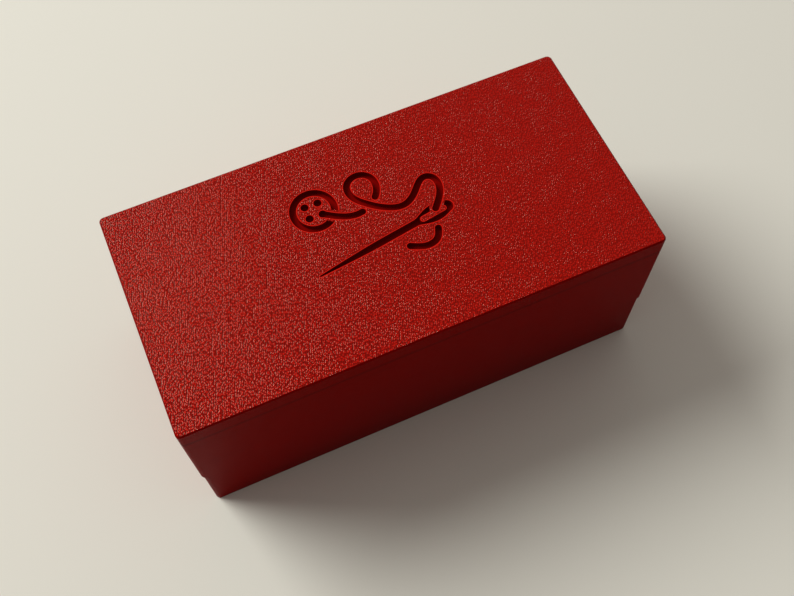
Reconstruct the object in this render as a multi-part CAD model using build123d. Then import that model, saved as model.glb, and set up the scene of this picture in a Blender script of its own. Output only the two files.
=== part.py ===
from build123d import *
import os

# Needle box: a deep lid drops over the neck of a base, and loose index dividers stand in slots
# of the base, so that flat packs of needles are filed by kind.
# Millimetres. The origin is the middle of the underside, +X runs along the length and +Z is up.

# Closed box, outside
box_length = 120.0
box_width = 59.6
box_height = 49.5
corner_radius = 1.2
bed_edge_chamfer = 0.35  # the edge round each shell's printed-down face

# Lid
lid_height = 30.0
lid_top_thickness = 2.4
wall_thickness = 3.0  # lid wall above the rebate; it also sets the inside of both shells
skirt_thickness = 1.2  # what the rebate leaves of that wall
rebate_radius = 0.8  # upright corners of the rebate and of the neck
rim_lead_in = 0.3

# Base
floor_thickness = 2.4
end_inset = 0.4  # the base stands back from the lid at each end
side_inset = 0.1  # and along each long side
neck_height = 9.5
neck_clearance = 0.2  # all round, between neck and rebate
neck_headroom = 0.3  # between the neck's top and the end of the rebate
neck_lead_in = 0.5
cavity_radius = 1.5

# Slots for the dividers, cut in the long walls and across the floor
slot_depth = 0.8
slot_clearance = 0.15  # on each face and at each end of a divider
mouth_height = 1.4
mouth_flare = 0.6  # on each side, at the neck's top

# Dividers
divider_count = 6
divider_thickness = 1.6
divider_headroom = 4.5  # free lift under the closed lid
divider_side_gap = 0.5  # from a divider's upper part to the walls
divider_foot_chamfer = 1.0
divider_corner_radius = 2.0
tab_width = 14.0
tab_height = 6.0
tab_inset = 4.0  # from the divider's side to the nearest tab
tab_corner_radius = 2.0
tab_foot_radius = 1.2
tab_rows = 3  # the tabs are staggered over this many places

# Heights and inside sizes that follow
shoulder_height = box_height - lid_height
neck_top = shoulder_height + neck_height
lid_underside = box_height - lid_top_thickness
inner_length = box_length - 2 * wall_thickness
inner_width = box_width - 2 * wall_thickness
slot_width = divider_thickness + 2 * slot_clearance
slot_floor = floor_thickness - slot_depth
divider_pitch = (inner_length + divider_thickness) / (divider_count + 1)


def block(length, width, radius, bottom, top):
    """Upright block with rounded corners between two heights, centred on the box."""
    return extrude(Pos(0, 0, bottom) * RectangleRounded(length, width, radius), top - bottom)


def divider_places():
    """X of each divider, so that all the compartments are equally wide."""
    first = -divider_pitch * (divider_count - 1) / 2
    return [first + divider_pitch * index for index in range(divider_count)]


def lid():
    shell = block(box_length, box_width, corner_radius, shoulder_height, box_height)
    shell = chamfer(shell.faces().sort_by(Axis.Z)[-1].edges(), bed_edge_chamfer)
    rebate_length = box_length - 2 * skirt_thickness
    rebate_width = box_width - 2 * skirt_thickness
    rebate_top = neck_top + neck_headroom
    shell -= block(rebate_length, rebate_width, rebate_radius, shoulder_height, rebate_top)
    rim_inside = shell.faces().sort_by(Axis.Z)[0].inner_wires()[0].edges()
    shell = chamfer(rim_inside, rim_lead_in)
    return shell - block(inner_length, inner_width, cavity_radius, rebate_top, lid_underside)


def slot_cutter():
    """Channel for one divider, with a mouth that flares along X at the neck's top."""
    half = slot_width / 2
    outline = Polyline(
        (-half, slot_floor),
        (half, slot_floor),
        (half, neck_top - mouth_height),
        (half + mouth_flare, neck_top),
        (-half - mouth_flare, neck_top),
        (-half, neck_top - mouth_height),
        close=True,
    )
    return extrude(Plane.XZ * make_face(outline), inner_width / 2 + slot_depth, both=True)


def base():
    length = box_length - 2 * end_inset
    width = box_width - 2 * side_inset
    tray = block(length, width, corner_radius, 0, shoulder_height)
    tray = chamfer(tray.faces().sort_by(Axis.Z)[0].edges(), bed_edge_chamfer)
    neck_inset = 2 * (skirt_thickness + neck_clearance)
    neck = block(
        box_length - neck_inset, box_width - neck_inset, rebate_radius, shoulder_height, neck_top
    )
    neck = chamfer(neck.faces().sort_by(Axis.Z)[-1].edges(), neck_lead_in)
    tray += neck
    tray -= block(inner_length, inner_width, cavity_radius, floor_thickness, neck_top)
    for place in divider_places():
        tray -= Pos(place, 0, 0) * slot_cutter()
    return tray


def divider(row):
    """Plate whose foot fills its slot up to the base's shoulder, with one index tab, drawn in YZ."""
    foot_half = inner_width / 2 + slot_depth - slot_clearance
    foot_height = shoulder_height - slot_floor
    plate_half = inner_width / 2 - divider_side_gap
    tab_top = lid_underside - divider_headroom
    plate_top = tab_top - tab_height
    foot = Pos(0, slot_floor + foot_height / 2) * Rectangle(2 * foot_half, foot_height)
    foot = chamfer(foot.vertices().group_by(Axis.Y)[0], divider_foot_chamfer)
    foot = chamfer(foot.vertices().group_by(Axis.Y)[-1], foot_half - plate_half)
    plate = Pos(0, (slot_floor + plate_top) / 2) * Rectangle(2 * plate_half, plate_top - slot_floor)
    plate = fillet(plate.vertices().group_by(Axis.Y)[-1], divider_corner_radius)
    tab_spread = plate_half - tab_inset - tab_width / 2
    tab_place = tab_spread * (2 * row / (tab_rows - 1) - 1)
    tab = Pos(tab_place, tab_top - tab_height) * Rectangle(tab_width, 2 * tab_height)
    tab = fillet(tab.vertices().group_by(Axis.Y)[-1], tab_corner_radius)
    outline = foot + plate + tab
    tab_feet = outline.vertices().sort_by_distance((tab_place, plate_top, 0))[:2]
    outline = fillet(tab_feet, tab_foot_radius)
    return extrude(Plane.YZ * outline, divider_thickness / 2, both=True)


def main():
    os.makedirs("parts", exist_ok=True)
    export_step(lid(), "parts/lid.step")
    export_step(base(), "parts/base.step")
    for index, place in enumerate(divider_places()):
        plate = Pos(place, 0, 0) * divider(index % tab_rows)
        export_step(plate, f"parts/divider_{index + 1}.step")


main()
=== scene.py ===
from collections import namedtuple
from math import ceil, cos, pi, radians, sin

import bmesh
import bpy
from mathutils import Matrix, Vector
from mathutils.geometry import tessellate_polygon


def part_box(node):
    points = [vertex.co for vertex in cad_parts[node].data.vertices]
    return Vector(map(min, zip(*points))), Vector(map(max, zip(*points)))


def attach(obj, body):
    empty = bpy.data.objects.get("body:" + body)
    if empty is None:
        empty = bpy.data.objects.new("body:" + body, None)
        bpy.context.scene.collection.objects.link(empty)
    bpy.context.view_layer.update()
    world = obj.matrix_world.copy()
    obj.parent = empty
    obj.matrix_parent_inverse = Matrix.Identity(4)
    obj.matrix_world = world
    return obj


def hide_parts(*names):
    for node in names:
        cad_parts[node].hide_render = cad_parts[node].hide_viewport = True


# Looks of the printed needle box: the engraved lid, the printed plastic, light, floor and camera.
# The scene is in metres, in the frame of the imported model. The engraving and the plastic are
# given in millimetres.
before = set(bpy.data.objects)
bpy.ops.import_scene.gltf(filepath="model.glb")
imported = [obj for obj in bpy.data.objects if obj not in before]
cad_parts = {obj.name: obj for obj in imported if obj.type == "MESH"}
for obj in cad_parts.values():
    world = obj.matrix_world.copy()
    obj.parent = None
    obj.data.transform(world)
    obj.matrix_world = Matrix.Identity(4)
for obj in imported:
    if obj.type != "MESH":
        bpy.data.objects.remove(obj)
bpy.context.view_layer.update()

MM = 0.001
lid_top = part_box("lid")[1].z / MM


def put(name, data):
    """A new object in the scene."""
    piece = bpy.data.objects.new(name, data)
    bpy.context.scene.collection.objects.link(piece)
    return piece


# ---------------------------------------------------------------- engraving: needle, thread, button

stroke_width = 1.6
engraving_depth = 1.4
strand_gap = 0.75  # land left where one strand passes over another
collar_width = 0.3  # the smooth ring that the printer's first outline leaves round each stroke
collar_depth = 0.04
collar_slope = 0.05
cutter_rise = 1.0  # how far the cutting solids stand above the lid
cap_steps = 10  # in the half circle at each end of a stroke

needle_eye_end = Vector((17.8, -0.4))
needle_tip = Vector((-17.4, -5.9))
needle_steps = 120
needle_round_end = 0.9  # length of the round end before the needle's sides start
needle_shaft_half = 0.85
needle_tip_half = 0.16
needle_eye_half = 2.25
needle_eye_length = 9.4
eye_swell_lead = 1.1  # the eye's swelling starts this far before the needle's end
eye_swell_power = 1.2
taper_start, taper_share, taper_power = 0.55, 0.45, 1.4  # the first two are shares of the length
eye_slot_start, eye_slot_end, eye_slot_half = 1.9, 7.5, 0.85
eye_slot_steps = 12

button_centre = Vector((-12.5, 11.0))
button_ring_radius = 5.0
button_hole_radius = 0.95
button_hole_offset = 1.65
button_hole_corners = 32

thread_line = [
    (-10.85, 9.35), (-7.6, 7.0), (-3.6, 5.5), (0.6, 6.7), (3.9, 10.1),
    (4.1, 14.6), (0.4, 16.7), (-3.3, 14.7), (-3.2, 10.7), (-0.4, 7.8),
    (3.0, 5.0), (7.6, 3.1), (11.5, 5.6), (14.5, 9.9), (18.0, 8.3),
    (17.7, 3.9), (14.2, -0.1),
]  # fmt: skip
thread_tail_line = [(12.6, -5.2), (11.5, -8.1), (8.0, -8.8), (4.6, -7.0)]
thread_loop_top = 6  # the point at the loop's top
thread_step = 0.3
thread_over_needle = 24  # points of the thread's end that pass over the needle
thread_scrap = 3  # a stretch of up to this many points is dropped


def smooth_line(points, step):
    """Points about a step apart on a smooth line that the given points steer (a cubic B-spline)."""
    given = [Vector(point) for point in points]
    given = [2 * given[0] - given[1], *given, 2 * given[-1] - given[-2]]
    line = []
    for before, start, end, after in zip(given, given[1:], given[2:], given[3:]):
        count = max(2, round((end - start).length / step))
        for index in range(count):
            t = index / count
            six_times = (
                (1 - t) ** 3 * before
                + (3 * t**3 - 6 * t**2 + 4) * start
                + (3 * (t + t**2 - t**3) + 1) * end
                + t**3 * after
            )
            line.append(six_times / 6)
    return line + [given[-2]]


def side_of(points, index):
    """Unit vector to the right of a line of points at one of them."""
    along = (points[min(index + 1, len(points) - 1)] - points[max(index - 1, 0)]).normalized()
    return Vector((along.y, -along.x))


def round_end(tip, half, side):
    """The points of a half circle about a stroke's end, after the one at the side."""
    turns = [Matrix.Rotation(pi * step / cap_steps, 2) for step in range(1, cap_steps)]
    return [tip + turn @ side * half for turn in turns]


def stroke_outline(points, half_widths):
    """Counter-clockwise outline with round ends, about a line of points."""
    sides = [side_of(points, index) for index in range(len(points))]
    right = [point + side * half for point, side, half in zip(points, sides, half_widths)]
    left = [point - side * half for point, side, half in zip(points, sides, half_widths)]
    far_end = round_end(points[-1], half_widths[-1], sides[-1])
    near_end = round_end(points[0], half_widths[0], -sides[0])
    return [*right, *far_end, *reversed(left), *near_end]


def circle(centre, radius, count=64):
    """Counter-clockwise circle."""
    return [
        centre + radius * Vector((cos(2 * pi * i / count), sin(2 * pi * i / count)))
        for i in range(count)
    ]


def moved_out(outline, distance):
    """An outline pushed to its right, which is away from the area that it bounds."""
    ring = zip(outline[-1:] + outline[:-1], outline, outline[1:] + outline[:1])
    moved = []
    for before, point, after in ring:
        along = (after - before).normalized()
        moved.append(point + distance * Vector((along.y, -along.x)))
    return moved


def cutter(name, shapes, profile):
    """Hidden solid of shapes, each an outline and its holes, raised through the profile's steps,
    which are a height and an outset each."""
    mesh = bmesh.new()
    for loops in shapes:
        rings = []
        for height, outset in profile:
            ring = []
            for loop in loops:
                outline = moved_out(loop, outset)
                ring.append([mesh.verts.new((p.x * MM, p.y * MM, height * MM)) for p in outline])
            rings.append(ring)
        for lower, upper in zip(rings, rings[1:]):
            for low, high in zip(lower, upper):
                count = len(low)
                for i in range(count):
                    j = (i + 1) % count
                    mesh.faces.new((low[i], low[j], high[j], high[i]))
        for ring in (rings[0], rings[-1]):
            if len(ring) == 1:
                mesh.faces.new(ring[0])
                continue
            corners = [corner for loop in ring for corner in loop]
            for face in tessellate_polygon([[corner.co for corner in loop] for loop in ring]):
                mesh.faces.new([corners[index] for index in face])
    bmesh.ops.recalc_face_normals(mesh, faces=mesh.faces)
    data = bpy.data.meshes.new(name)
    mesh.to_mesh(data)
    mesh.free()
    piece = put(name, data)
    piece.hide_render = True
    return piece


def subtract(piece, *cutters):
    """Cuts the cutters out of a piece and deletes them."""
    for tool in cutters:
        cut = piece.modifiers.new("cut", "BOOLEAN")
        cut.operation = "DIFFERENCE"
        cut.solver = "EXACT"
        cut.object = tool
    bpy.context.view_layer.update()
    evaluated = piece.evaluated_get(bpy.context.evaluated_depsgraph_get())
    done = bpy.data.meshes.new_from_object(evaluated)
    piece.modifiers.clear()
    piece.data = done
    for tool in cutters:
        bpy.data.objects.remove(tool)


def runs_clear_of(points, others, distance):
    """The stretches of a line of points that stay a distance away from other points."""
    runs, run = [], []
    for point in points:
        if min((point - other).length for other in others) >= distance:
            run.append(point)
        elif run:
            runs.append(run)
            run = []
    runs.append(run)
    return [run for run in runs if len(run) > thread_scrap]


def needle_outline():
    """The needle and its eye, drawn along its axis from the eye's end to the point."""
    axis = needle_tip - needle_eye_end
    length = axis.length
    along = axis.normalized()
    line, halves = [], []
    for i in range(needle_steps + 1):
        place = needle_round_end + (length - needle_round_end) * i / needle_steps
        if place < needle_eye_length:
            share = (place + eye_swell_lead) / (needle_eye_length + eye_swell_lead)
            swell = sin(pi * min(1.0, share)) ** eye_swell_power
            half = needle_shaft_half + (needle_eye_half - needle_shaft_half) * swell
        else:
            taper = max(0.0, (place - taper_start * length) / (taper_share * length))
            half = needle_shaft_half + (needle_tip_half - needle_shaft_half) * taper**taper_power
        line.append(needle_eye_end + along * place)
        halves.append(half)
    slot_length = eye_slot_end - eye_slot_start
    slot = [
        needle_eye_end + along * (eye_slot_start + slot_length * i / eye_slot_steps)
        for i in range(eye_slot_steps + 1)
    ]
    eye = stroke_outline(slot, [eye_slot_half] * len(slot))
    return stroke_outline(line, halves), list(reversed(eye))


def thread_strands():
    """The thread in two runs: the first ends where it passes under the second, in the loop."""
    line = smooth_line(thread_line, thread_step)
    top = Vector(thread_line[thread_loop_top])
    split = min(range(len(line)), key=lambda index: (line[index] - top).length)
    incoming, outgoing = line[:split], line[split:]
    reach = stroke_width + strand_gap
    first, rest = runs_clear_of(incoming, outgoing[ceil(reach / thread_step) :], reach)
    return first, rest + outgoing


def engrave(shell):
    """Cuts the motif into the lid: the button's ring and the needle stop short of the thread, which
    passes over them."""
    floor, top = lid_top - engraving_depth, lid_top
    carve = [
        (floor, 0),
        (top - collar_depth - collar_slope, 0),
        (top - collar_depth, collar_slope),
        (top - collar_depth, collar_width),
        (top + cutter_rise, collar_width),
    ]
    plain = [(floor - cutter_rise / 2, 0), (top + 2 * cutter_rise, 0)]

    first, last = thread_strands()
    tail = smooth_line(thread_tail_line, thread_step)
    half = stroke_width / 2
    shapes = []
    for strand in (first, last, tail):
        halves = [half] * len(strand)
        if strand is first:  # it comes out of the button's fourth hole
            halves[0] = button_hole_radius
            halves[1] = (button_hole_radius + half) / 2
        shapes.append([stroke_outline(strand, halves)])
    offset = button_hole_offset
    for x, y in ((-offset, -offset), (-offset, offset), (offset, offset)):
        hole = circle(button_centre + Vector((x, y)), button_hole_radius, button_hole_corners)
        shapes.append([hole])

    ring = [
        circle(button_centre, button_ring_radius + half),
        list(reversed(circle(button_centre, button_ring_radius - half))),
    ]
    under_shapes = cutter("under_strands", [ring, list(needle_outline())], carve)
    wide = half + strand_gap
    over = first, last[-thread_over_needle:]
    room = [stroke_outline(strand, [wide] * len(strand)) for strand in over]
    subtract(under_shapes, *[cutter("room", [[outline]], plain) for outline in room])
    subtract(shell, under_shapes, cutter("over_strands", shapes, carve))


def engraved_lid():
    """The lid with the engraving cut into its top; it stands for the plain CAD lid."""
    weld_distance, sharp_angle = 1e-6, radians(28)
    mesh = bmesh.new()
    mesh.from_mesh(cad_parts["lid"].data)
    bmesh.ops.remove_doubles(mesh, verts=mesh.verts, dist=weld_distance)
    mesh.verts.index_update()
    corners = [vert.co.copy() for vert in mesh.verts]
    faces = [[vert.index for vert in face.verts] for face in mesh.faces]
    mesh.free()
    data = bpy.data.meshes.new("lid_engraved")
    data.from_pydata(corners, [], faces)
    shell = put("lid_engraved", data)
    engrave(shell)
    data = shell.data
    data.polygons.foreach_set("use_smooth", [True] * len(data.polygons))
    data.set_sharp_from_angle(angle=sharp_angle)
    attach(shell, "lid")
    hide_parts("lid")
    return shell


lid = engraved_lid()

# ---------------------------------------------------------------- printed plastic


class Shader:
    """The emptied node tree of a material or world, and short calls that add nodes to it."""

    def __init__(self, owner):
        owner.use_nodes = True
        self.tree = owner.node_tree
        self.tree.nodes.clear()

    def node(self, kind, inputs=None, **settings):
        made = self.tree.nodes.new("ShaderNode" + kind)
        for key, value in settings.items():
            setattr(made, key, value)
        for key, value in (inputs or {}).items():
            if isinstance(value, bpy.types.NodeSocket):
                self.tree.links.new(value, made.inputs[key])
            else:
                made.inputs[key].default_value = value
        return made

    def math(self, operation, *values, clamp=False):
        inputs = dict(enumerate(values))
        return self.node("Math", inputs, operation=operation, use_clamp=clamp).outputs[0]

    def add(self, first, second):
        return self.math("ADD", first, second)

    def times(self, first, second):
        return self.math("MULTIPLY", first, second)

    def vector(self, operation, *values):
        made = self.node("VectorMath", dict(enumerate(values)), operation=operation)
        return made.outputs["Value" if operation == "DOT_PRODUCT" else "Vector"]

    def mix(self, factor, first, second, kind="FLOAT"):
        inputs = {"Factor": factor, "A": first, "B": second}
        return self.node("Mix", inputs, data_type=kind).outputs["Result"]

    def waves(self, value, pitch):
        """Sine waves of a pitch along a value."""
        return self.math("SINE", self.times(value, 2 * pi / pitch))

    def ramp(self, value, low, high, to_low=0.0, to_high=1.0):
        """Smooth step of a value between two limits."""
        inputs = {"Value": value, 1: low, 2: high, 3: to_low, 4: to_high}
        return self.node("MapRange", inputs, interpolation_type="SMOOTHSTEP").outputs[0]

    def noise(self, point, scale, detail=2.0, roughness=0.5):
        inputs = {"Vector": point, "Scale": scale, "Detail": detail, "Roughness": roughness}
        return self.node("TexNoise", inputs).outputs["Fac"]


# Colours: the darkest and the lightest red of each kind of surface. The walls' reds are the
# plastic's red darkened as painted shade, as for walls that stand in shade; the dividers' reds lie
# between the two, so they are partly painted shade.
# The plate's darkest red is painted shade in the granules' pits, and its lightest is partly a
# painted glint on their tops.
plate_reds = (0.16, 0.0008, 0.0003, 1), (0.66, 0.0090, 0.0040, 1)
shaded_wall_reds = (0.12, 0.0006, 0.0004, 1), (0.228, 0.0014, 0.0008, 1)
divider_reds = (0.18, 0.0010, 0.0005, 1), (0.32, 0.0025, 0.0010, 1)
plate_specular, wall_specular, divider_specular = 0.13, 0.01, 0.05
specular_tint = (1.0, 0.92, 0.68, 1)
wall_roughness = 0.32

# Kinds of face, by the cosine between a face's normal and the way that the plate side looks
plate_cosine = 0.9
wall_cosine = 0.6
plate_depth = 0.02  # the plate's print ends this far below the plate side
plate_faces_depth = 0.1  # and the faces that carry it end this far below

# The print of the plate. Lengths are millimetres, and so are the relief's heights. Scales of noise
# are per millimetre. A ramp is the two limits of a smooth step and, where given, what they become.
granule_size = 0.48
granule_squeeze = 0.8  # along the stripes, so that the granules are longer that way
granule_smoothness = 0.10
granule_ramp = 0.3, 1.0
granule_relief = 0.090
fine_scale, fine_detail, fine_relief = 2.6, 1, 0.062
stripe_pitch = 0.458
stripe_wander_scale, stripe_wander = 0.6, 0.35
stripe_relief = 0.012
patch_scale = 0.22
patch_ramp = 0.35, 0.65, 0.7, 1.0
# The granules' tone is partly the grain's own and partly painted light: darker in the pits as
# painted shade, lighter on the tops as painted glints.
granule_shade_and_glint_ramp = 0.45, 0.95, -0.26, 0.74
stripe_tone = 0.2
tone_contrast, tone_middle = 0.62, 0.32
# Painted light: the tone's contrast grows this much towards the front left, partly for the lamp's
# stronger glints there.
painted_glint_lean = (-0.007, -0.0035, 0)  # per millimetre
glint_scale, glint_detail = 1.7, 1
glint_ramp = 0.46, 0.60, 0.22, 0.07  # the noise becomes a roughness

# The print of the walls and of the last layer
layer_height = 0.2
layer_wander_scale, layer_wander = 0.15, 0.4
layer_relief = 0.006
infill_direction = (0.7071, 0.7071, 0.7071)
infill_pitch = 0.42
infill_relief = 0.015
cloud_scale, cloud_detail = 0.5, 3
cloud_ramp = 0.3, 0.75, 0.85, 1.0
band_squeeze = (0.02, 0.02, 1.0)  # the noise is drawn out into level bands
band_scale, band_detail, band_roughness = 2.2, 3, 0.7
band_contrast = 0.35
# Painted shade along faint level lines on the lid's walls, where the print leaves shallow grooves:
# height, half width and darkness
lid_hull_line_shade = (
    (lid_top - 5.2, 0.8, 0.75),
    (lid_top - 8.6, 0.6, 0.2),
    (lid_top - 20.5, 0.6, 0.2),
)

# How a piece lay on the printer's plate: the way that its plate side looks, how far along that way
# the side is, and the directions across and along the stripes
Plate = namedtuple("Plate", "direction level across along")
any_level = -1000.0  # every face that looks that way lay on the plate
stripe_cos, stripe_sin = 0.944, 0.331
across_box, along_box = (stripe_cos, -stripe_sin, 0), (stripe_sin, stripe_cos, 0)
across_divider, along_divider = (0, stripe_cos, -stripe_sin), (0, stripe_sin, stripe_cos)
lid_plate = Plate((0, 0, 1), lid_top, across_box, along_box)
base_plate = Plate((0, 0, -1), 0.0, across_box, along_box)
divider_plate = Plate((-1, 0, 0), any_level, across_divider, along_divider)


def plate_print(s, point, plate):
    """Relief, tone and roughness of a side that lay on the plate: granules and faint stripes."""
    across = s.vector("DOT_PRODUCT", point, plate.across)
    along = s.vector("DOT_PRODUCT", point, plate.along)
    bed = s.node("CombineXYZ", {"X": across, "Y": s.times(along, granule_squeeze)}).outputs[0]
    wander = s.times(s.noise(point, stripe_wander_scale), stripe_wander)
    stripes = s.waves(s.add(across, wander), stripe_pitch)
    distance = s.node(
        "TexVoronoi",
        {"Vector": bed, "Scale": 1 / granule_size, "Smoothness": granule_smoothness},
        feature="SMOOTH_F1",
        voronoi_dimensions="2D",
    ).outputs["Distance"]
    granules = s.math("SUBTRACT", 1.0, distance)

    relief = s.times(s.ramp(granules, *granule_ramp), granule_relief)
    relief = s.add(relief, s.times(s.noise(bed, fine_scale, fine_detail), fine_relief))
    relief = s.add(relief, s.times(stripes, stripe_relief))
    relief = s.times(relief, s.ramp(s.noise(point, patch_scale), *patch_ramp))

    # The contrast of the tone grows towards the front left; this is partly painted light, standing
    # for the lamp's glints, which are stronger there.
    contrast = s.add(s.vector("DOT_PRODUCT", point, painted_glint_lean), 1.0)
    # Painted shade and glints: the tone follows the granules, darker in their pits and lighter on
    # their tops; the stripes add the print's own tone.
    tone = s.math("MULTIPLY_ADD", stripes, stripe_tone, s.ramp(granules, *granule_shade_and_glint_ramp))
    contrast = s.times(contrast, tone_contrast)
    tone = s.math("MULTIPLY_ADD", tone, contrast, tone_middle, clamp=True)
    roughness = s.ramp(s.noise(bed, glint_scale, glint_detail), *glint_ramp)
    return relief, tone, roughness


def printed_plastic(name, plate, reds, specular, has_plate_side=True, hull_line_shade=()):
    """Red plastic from a printer: layer lines on the walls, the last layer's lines on the faces
    that look away from the plate and, if it has a plate side, the print of the plate on it."""
    material = bpy.data.materials.new(name)
    s = Shader(material)
    place = s.node("TexCoord")
    point = s.vector("MULTIPLY", place.outputs["Object"], (1 / MM,) * 3)
    facing = s.vector("DOT_PRODUCT", place.outputs["Normal"], plate.direction)
    height = s.vector("DOT_PRODUCT", point, plate.direction)
    wall = s.math("LESS_THAN", s.math("ABSOLUTE", facing), wall_cosine)
    last_layer = s.math("LESS_THAN", facing, -plate_cosine)

    wander = s.times(s.noise(point, layer_wander_scale), layer_wander)
    layers = s.waves(s.add(height, wander), layer_height)
    infill = s.waves(s.vector("DOT_PRODUCT", point, infill_direction), infill_pitch)
    layers = s.times(s.times(layers, wall), layer_relief)
    relief = s.add(layers, s.times(s.times(infill, last_layer), infill_relief))

    # The tone is how light the plastic is between its two reds.
    tone = s.ramp(s.noise(point, cloud_scale, cloud_detail), *cloud_ramp)
    drawn_out = s.vector("MULTIPLY", point, band_squeeze)
    bands = s.noise(drawn_out, band_scale, band_detail, band_roughness)
    bands = s.math("SUBTRACT", bands, 0.5)  # about zero
    tone = s.add(tone, s.times(bands, band_contrast))
    # Painted shade: the tone darkens on the walls along each hull line, standing for the shade in
    # its shallow groove.
    for level, half, painted_darkness in hull_line_shade:
        distance = s.math("ABSOLUTE", s.math("SUBTRACT", height, level))
        near = s.ramp(distance, 0.0, half, painted_darkness, 0.0)
        tone = s.math("SUBTRACT", tone, s.times(near, wall))
    roughness = wall_roughness

    if has_plate_side:
        on_plate = s.times(
            s.math("GREATER_THAN", facing, plate_cosine),
            s.math("GREATER_THAN", height, plate.level - plate_depth),
        )
        plate_relief, plate_tone, plate_roughness = plate_print(s, point, plate)
        relief = s.add(relief, s.times(plate_relief, on_plate))
        tone = s.mix(on_plate, tone, plate_tone)
        roughness = s.mix(on_plate, wall_roughness, plate_roughness)

    bump = s.node("Bump", {"Strength": 1.0, "Distance": MM, "Height": relief})
    shader = s.node(
        "BsdfPrincipled",
        {
            "Base Color": s.mix(tone, *reds, kind="RGBA"),
            "Roughness": roughness,
            "Specular IOR Level": specular,
            "Specular Tint": specular_tint,
            "Normal": bump.outputs["Normal"],
        },
    )
    s.node("OutputMaterial", {"Surface": shader.outputs[0]})
    return material


def dress(piece, *materials):
    piece.data.materials.clear()
    for material in materials:
        piece.data.materials.append(material)


dress(
    lid,
    printed_plastic("lid_walls", lid_plate, shaded_wall_reds, wall_specular, False, lid_hull_line_shade),
    printed_plastic("lid_plate_side", lid_plate, plate_reds, plate_specular),
)
for face in lid.data.polygons:
    on_top = face.center.z > (lid_top - plate_faces_depth) * MM
    face.material_index = int(face.normal.z > plate_cosine and on_top)
# The base's plastic uses the walls' reds, with their painted shade.
base_plastic = printed_plastic("base_plastic", base_plate, shaded_wall_reds, wall_specular)
divider_plastic = printed_plastic("divider_plastic", divider_plate, divider_reds, divider_specular)
dress(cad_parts["base"], base_plastic)
for name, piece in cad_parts.items():
    if name.startswith("divider"):
        dress(piece, divider_plastic)

# ---------------------------------------------------------------- floor, light and camera

floor_half = 6.0
floor_colours = (0.80, 0.775, 0.70, 1), (0.78, 0.755, 0.68, 1)
floor_mottle_scale, floor_mottle_detail = 9.0, 3
floor_roughness = 0.7
floor_specular = 0.2
floor_mesh = bpy.data.meshes.new("floor")
floor_corners = [
    (x * floor_half, y * floor_half, 0) for x, y in ((-1, -1), (1, -1), (1, 1), (-1, 1))
]
floor_mesh.from_pydata(floor_corners, [], [(0, 1, 2, 3)])
floor = put("floor", floor_mesh)
floor_paint = bpy.data.materials.new("floor_paint")
s = Shader(floor_paint)
mottle = s.noise(s.node("TexCoord").outputs["Object"], floor_mottle_scale, floor_mottle_detail)
shader = s.node(
    "BsdfPrincipled",
    {
        "Base Color": s.mix(mottle, *floor_colours, kind="RGBA"),
        "Roughness": floor_roughness,
        "Specular IOR Level": floor_specular,
    },
)
s.node("OutputMaterial", {"Surface": shader.outputs[0]})
floor_mesh.materials.append(floor_paint)

key_direction = Vector((-0.508, 0.585, 0.632))  # from the box towards the lamp
key_distance = 2.0
lamp = bpy.data.lights.new("key", "AREA")
lamp.shape = "ELLIPSE"
lamp.size = 1.5
lamp.size_y = 0.98
lamp.energy = 40.0
lamp.color = (0.98, 1.0, 0.965)
key = put("key", lamp)
key.location = key_direction.normalized() * key_distance
key.rotation_mode = "QUATERNION"
key.rotation_quaternion = (-key_direction).to_track_quat("-Z", "Y")

# The room gives soft light that is stronger from behind and above. Near the horizon the camera,
# reflections and clear materials see a pale backdrop.
room_colour = (1.0, 0.933, 0.878, 1)
room_strength = 0.187
room_direction = Vector((0.1, 0.75, 0.6)).normalized()
room_lean = 1.35
room_least = 0.01
backdrop_colour = (0.80, 0.78, 0.71, 1)
backdrop_ramp = 0.2, 0.45, 1.0, 0.0  # it fades between two heights above the horizon
world = bpy.data.worlds.new("room")
s = Shader(world)
direction = s.node("TexCoord").outputs["Generated"]
lean = s.vector("DOT_PRODUCT", direction, room_direction)
strength = s.math("MULTIPLY_ADD", lean, room_lean * room_strength, room_strength)
strength = s.math("MAXIMUM", strength, room_least)
room = s.node("Background", {"Color": room_colour, "Strength": strength})
backdrop = s.node("Background", {"Color": backdrop_colour, "Strength": 1.0})
path = s.node("LightPath")
seen = s.math("MAXIMUM", path.outputs["Is Camera Ray"], path.outputs["Is Glossy Ray"])
seen = s.math("MAXIMUM", seen, path.outputs["Is Transmission Ray"])
low = s.ramp(s.vector("DOT_PRODUCT", direction, (0, 0, 1)), *backdrop_ramp)
share = s.times(seen, low)
surface = s.node("MixShader", {0: share, 1: room.outputs[0], 2: backdrop.outputs[0]})
s.node("OutputWorld", {"Surface": surface.outputs[0]})
bpy.context.scene.world = world

# The camera stands and looks as the photograph's did, fitted to the corners of the box.
camera_place = Vector((-41.52, -110.445, 253.069)) * MM
camera_target = Vector((-3.66, -18.09, 49.5)) * MM
camera_roll = radians(-1.5)
lens = bpy.data.cameras.new("camera")
lens.sensor_width = 36.0
lens.lens = 45.384
lens.clip_start = 0.01
camera = put("camera", lens)
turn = (camera_target - camera_place).to_track_quat("-Z", "Y").to_matrix().to_4x4()
camera.matrix_world = Matrix.Translation(camera_place) @ turn @ Matrix.Rotation(camera_roll, 4, "Z")
bpy.context.scene.camera = camera
bpy.context.scene.view_settings.view_transform = "Standard"
